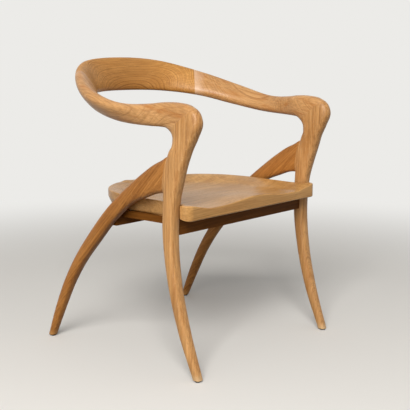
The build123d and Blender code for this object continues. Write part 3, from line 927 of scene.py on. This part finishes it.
@dataclass
class FootGlides:
    """Moulded nylon glides, each with a rounded rim, a hollow sole and a pin in the leg."""

    radius: float = 0.008
    thickness: float = 0.0045
    pin_radius: float = 0.0015
    pin_length: float = 0.015
    rim: float = 0.0011
    rim_steps: int = 4
    hollow_rim: float = 0.0022
    hollow_depth: float = 0.0007
    sides: int = 64
    colour: Triple = (48, 42, 38)
    scratched: Triple = (92, 84, 76)
    scratches: Waves = Waves((300, 4200, 300), 1)
    scratch_cut: Ramp = Ramp(0.58, 0.66)
    pebbles: Waves = Waves((2600, 2600, 2600), 2)
    pebble_matt: Ramp = Ramp(0.3, 0.7, 0.4, 0.62, smooth=False)
    pebble_strength: float = 0.4
    pebble_depth: float = 0.0001

    def nylon(self) -> bpy.types.Material:
        """Dark moulded nylon, pebbled and finely scratched.

        Returns:
            The material.
        """
        material = bpy.data.materials.new("glide_nylon")
        bench = Bench.emptied(material)
        place = bench.add("TexCoord").outputs["Object"]
        pebbles = bench.noise(place, self.pebbles)
        scuffs = bench.spread(bench.noise(place, self.scratches), self.scratch_cut)
        colour = bench.blend(scuffs, paint(self.colour), paint(self.scratched))
        rough = bench.spread(pebbles, self.pebble_matt)
        bench.surface({"Base Color": colour, "Roughness": rough}, pebbles, self.pebble_strength,
                      self.pebble_depth)
        return material

    def shape(self, name: str, centre: Vector) -> bpy.types.Object:
        """Model one glide.

        Args:
            name: the piece's name.
            centre: the middle of the foot; its height isn't used.

        Returns:
            The piece.
        """
        half = self.thickness / 2
        Shaping.choose(None)
        bpy.ops.mesh.primitive_cylinder_add(vertices=self.sides, radius=self.radius,
                                            depth=self.thickness,
                                            location=(centre.x, centre.y, half))
        piece = bpy.context.active_object
        piece.name = name
        bpy.ops.object.mode_set(mode="EDIT")
        Shaping.pick(piece, Pick.EDGES, -half)
        bpy.ops.mesh.bevel(offset=self.rim, segments=self.rim_steps, affect="EDGES")
        Shaping.pick(piece, Pick.FACES, -half)
        bpy.ops.mesh.inset(thickness=self.hollow_rim)
        Shaping.rise(self.hollow_depth)
        Shaping.pick(piece, Pick.FACES, half)
        bpy.ops.mesh.inset(thickness=self.radius - self.pin_radius)
        Shaping.rise(self.pin_length)
        bpy.ops.object.mode_set(mode="OBJECT")
        Shaping.settle(piece)
        return piece

    def build(self) -> None:
        """Model and dress the four glides in the place of their nodes."""
        nylon = self.nylon()
        for side in ("left", "right"):
            for end in ("front", "rear"):
                node = f"{side}_{end}_glide"
                low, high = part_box(node)
                piece = self.shape(f"{side}_{end}_foot_glide", (low + high) / 2)
                dress(piece, nylon)
                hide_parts(node)
                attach(piece, "root")


@dataclass
class SeatScrews:
    """Countersunk screws with a cross recess, three up through each bearer."""

    head_radius: float = 0.00425
    shank_radius: float = 0.00225
    core_radius: float = 0.0016
    head_height: float = 0.003
    length: float = 0.030
    thread_pitch: float = 0.002
    tip_share: float = 0.1
    recess_width: float = 0.0011
    recess_reach: float = 0.0046
    recess_depth: float = 0.0018
    sides: int = 48
    offset: float = 0.241
    places: tuple[float, ...] = (-0.149, -0.079, -0.009)
    plating: Triple = (196, 192, 180)
    dull: Triple = (168, 158, 132)
    dulling: Waves = Waves((400, 400, 400), 2)
    dull_cut: Ramp = Ramp(0.4, 0.7)
    marks: Waves = Waves((900, 900, 9000), 2)
    mark_matt: Ramp = Ramp(0.3, 0.7, 0.28, 0.46, smooth=False)
    mark_strength: float = 0.3
    mark_depth: float = 0.00005

    def steel(self) -> bpy.types.Material:
        """Plated steel with turning marks round each screw's head.

        Returns:
            The material.
        """
        material = bpy.data.materials.new("screw_steel")
        bench = Bench.emptied(material)
        place = bench.add("TexCoord").outputs["Object"]
        marks = bench.noise(place, self.marks)
        tarnish = bench.spread(bench.noise(place, self.dulling), self.dull_cut)
        colour = bench.blend(tarnish, paint(self.plating), paint(self.dull))
        rough = bench.spread(marks, self.mark_matt)
        bench.surface({"Base Color": colour, "Roughness": rough, "Metallic": 1.0}, marks,
                      self.mark_strength, self.mark_depth)
        return material

    def cut_recess(self, screw: bpy.types.Object) -> None:
        """Cut the cross into the head's face, which looks down.

        Args:
            screw: the screw, upright at the origin with its face at height 0.
        """
        for width, reach in ((self.recess_width, self.recess_reach),
                             (self.recess_reach, self.recess_width)):
            Shaping.choose(None)
            bpy.ops.mesh.primitive_cube_add(size=1, location=(0, 0, 0),
                                            scale=(width, reach, 2 * self.recess_depth))
            bar = bpy.context.active_object
            bpy.ops.object.transform_apply(location=True, rotation=True, scale=True)
            cut = screw.modifiers.new("cross", "BOOLEAN")
            cut.operation = "DIFFERENCE"
            cut.object = bar
            bpy.context.view_layer.objects.active = screw
            bpy.ops.object.modifier_apply(modifier=cut.name)
            bpy.data.objects.remove(bar)

    def shape(self) -> bpy.types.Object:
        """Model one screw, pointing up, with its head's face at height 0.

        Returns:
            The screw.
        """
        Shaping.choose(None)
        bpy.ops.mesh.primitive_cone_add(
            vertices=self.sides, radius1=self.head_radius, radius2=self.shank_radius,
            depth=self.head_height, location=(0, 0, self.head_height / 2))
        screw = bpy.context.active_object
        bpy.ops.object.transform_apply(location=True, rotation=True, scale=True)
        bpy.ops.object.mode_set(mode="EDIT")
        Shaping.pick(screw, Pick.FACES, self.head_height)
        shank = self.length - self.head_height
        turns = int(shank / self.thread_pitch) - 1
        core_share = self.core_radius / self.shank_radius
        for _ in range(turns):
            for share in (core_share, 1 / core_share):
                Shaping.rise(self.thread_pitch / 2)
                Shaping.scale(share)
        Shaping.rise(shank - turns * self.thread_pitch)
        Shaping.scale(self.tip_share)
        bpy.ops.object.mode_set(mode="OBJECT")
        self.cut_recess(screw)
        return screw

    def build(self) -> None:
        """Model one screw, copy it to its six places, and join them as one set."""
        low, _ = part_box("seat_screws")
        first = self.shape()
        copies = []
        for offset in (-self.offset, self.offset):
            for depth in self.places:
                Shaping.choose(first)
                bpy.ops.object.duplicate(linked=False)
                copy = bpy.context.active_object
                bpy.ops.transform.translate(value=(offset, depth, low.z))
                Shaping.settle(copy)
                copies.append(copy)
        bpy.data.objects.remove(first)
        Shaping.choose(copies[0])
        for copy in copies:
            copy.select_set(True)
        bpy.ops.object.join()
        piece = bpy.context.active_object
        piece.name = "seat_screw_set"
        Shaping.settle(piece)
        dress(piece, self.steel())
        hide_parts("seat_screws")
        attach(piece, "root")


@dataclass(frozen=True)
class Lamp:
    """A soft square lamp: its name, its place, its side, its power in watts and its colour."""

    name: str
    place: Triple
    size: float
    power: float
    colour: Triple = (1.0, 1.0, 1.0)


@dataclass
class Studio:
    """Pale floor and background, soft lamps and the camera."""

    floor_size: float = 60.0
    floor_colour: Triple = (236, 234, 230)
    floor_matt: float = 0.95
    wall_colour: Triple = (236, 235, 232)
    fade: Ramp = Ramp(0.9, 2.6)
    bounce_colour: Triple = (96, 92, 90)
    sky_colour: Colour = (1.0, 0.985, 0.96, 1.0)
    sky_level: float = 0.31
    lamps: tuple[Lamp, ...] = (
        Lamp("key_lamp", (-3.46, -2.34, 3.38), 2.4, 243.0, (1.0, 0.98, 0.95)),
        Lamp("side_lamp", (-3.60, -1.00, 0.50), 1.6, 26.0),
        Lamp("fill_lamp", (1.4, -3.0, 1.6), 2.2, 5.0),
    )
    lamp_target: Triple = (0.0, 0.0, 0.45)
    camera_place: Triple = (-1.7651, -1.6063, 0.7840)
    camera_right: Triple = (0.6591, -0.752, 0.0)
    camera_ahead: Triple = (0.7414, 0.6498, -0.1677)
    lens: float = 74.2
    sensor_width: float = 36.0

    def seen_directly(self, bench: Bench) -> Socket:
        """1 for rays that show the background: the camera's, and mirror and glass rays.

        Args:
            bench: the tree's bench.

        Returns:
            The value's socket.
        """
        ray = bench.add("LightPath").outputs
        return bench.math("MAXIMUM", ray["Is Camera Ray"],
                          bench.math("MAXIMUM", ray["Is Glossy Ray"], ray["Is Transmission Ray"]))

    def sky(self) -> None:
        """Set the world: even pale light, and a pale wall colour where it is seen."""
        world = bpy.data.worlds.new("studio_sky")
        bpy.context.scene.world = world
        bench = Bench.emptied(world)
        light = bench.add("Background", {"Color": self.sky_colour, "Strength": self.sky_level})
        wall = bench.add("Background", {"Color": paint(self.wall_colour), "Strength": 1.0})
        both = bench.add("MixShader", {0: self.seen_directly(bench), 1: light.outputs[0],
                                       2: wall.outputs[0]})
        bench.add("OutputWorld", {"Surface": both.outputs[0]})

    def floor(self) -> None:
        """Lay a pale floor whose far part runs into the background."""
        Shaping.choose(None)
        bpy.ops.mesh.primitive_plane_add(size=self.floor_size, location=(0, 0, 0))
        floor = bpy.context.active_object
        floor.name = "studio_floor"
        material = bpy.data.materials.new("pale_floor")
        bench = Bench.emptied(material)
        place = bench.add("TexCoord").outputs["Object"]
        far = bench.spread(bench.vector("LENGTH", place), self.fade)
        direct = self.seen_directly(bench)
        seen = bench.blend(direct, paint(self.bounce_colour), paint(self.floor_colour))
        matt = bench.add("BsdfPrincipled", {"Base Color": seen, "Roughness": self.floor_matt,
                                            "Specular IOR Level": 0.0})
        wall = bench.add("Emission", {"Color": paint(self.wall_colour), "Strength": 1.0})
        both = bench.add("MixShader", {0: bench.math("MULTIPLY", far, direct),
                                       1: matt.outputs[0], 2: wall.outputs[0]})
        bench.add("OutputMaterial", {"Surface": both.outputs[0]})
        dress(floor, material)

    def hang(self, lamp: Lamp) -> None:
        """Hang one lamp that looks at the chair.

        Args:
            lamp: the lamp.
        """
        data = bpy.data.lights.new(lamp.name, "AREA")
        data.shape = "SQUARE"
        data.size = lamp.size
        data.energy = lamp.power
        data.color = lamp.colour
        hung = bpy.data.objects.new(lamp.name, data)
        bpy.context.scene.collection.objects.link(hung)
        hung.location = lamp.place
        aim = Vector(self.lamp_target) - Vector(lamp.place)
        hung.rotation_euler = aim.to_track_quat("-Z", "Y").to_euler()

    def camera(self) -> None:
        """Set up the camera."""
        data = bpy.data.cameras.new("studio_camera")
        data.sensor_width = self.sensor_width
        data.lens = self.lens
        camera = bpy.data.objects.new("studio_camera", data)
        bpy.context.scene.collection.objects.link(camera)
        right, ahead = Vector(self.camera_right), Vector(self.camera_ahead)
        above = right.cross(ahead)
        turn = Matrix((right, above, -ahead)).transposed()
        camera.matrix_world = Matrix.Translation(self.camera_place) @ turn.to_4x4()
        bpy.context.scene.camera = camera

    def build(self) -> None:
        """Set up the whole studio."""
        self.sky()
        self.floor()
        for lamp in self.lamps:
            self.hang(lamp)
        self.camera()
        bpy.context.scene.view_settings.view_transform = "Standard"


def main() -> None:
    """Build the chair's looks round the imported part."""
    logging.basicConfig(level=logging.INFO, format="%(name)s: %(message)s")
    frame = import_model()
    nodes = frame["nodes"]
    shop = OilShop()
    for assembly in (Bow(shop, nodes), Legs(shop, nodes), Seat(shop, nodes),
                     Underframe(shop, nodes), FootGlides(), SeatScrews(), Studio()):
        assembly.build()
        log.info("%s done", type(assembly).__name__)


if __name__ == "__main__":
    main()
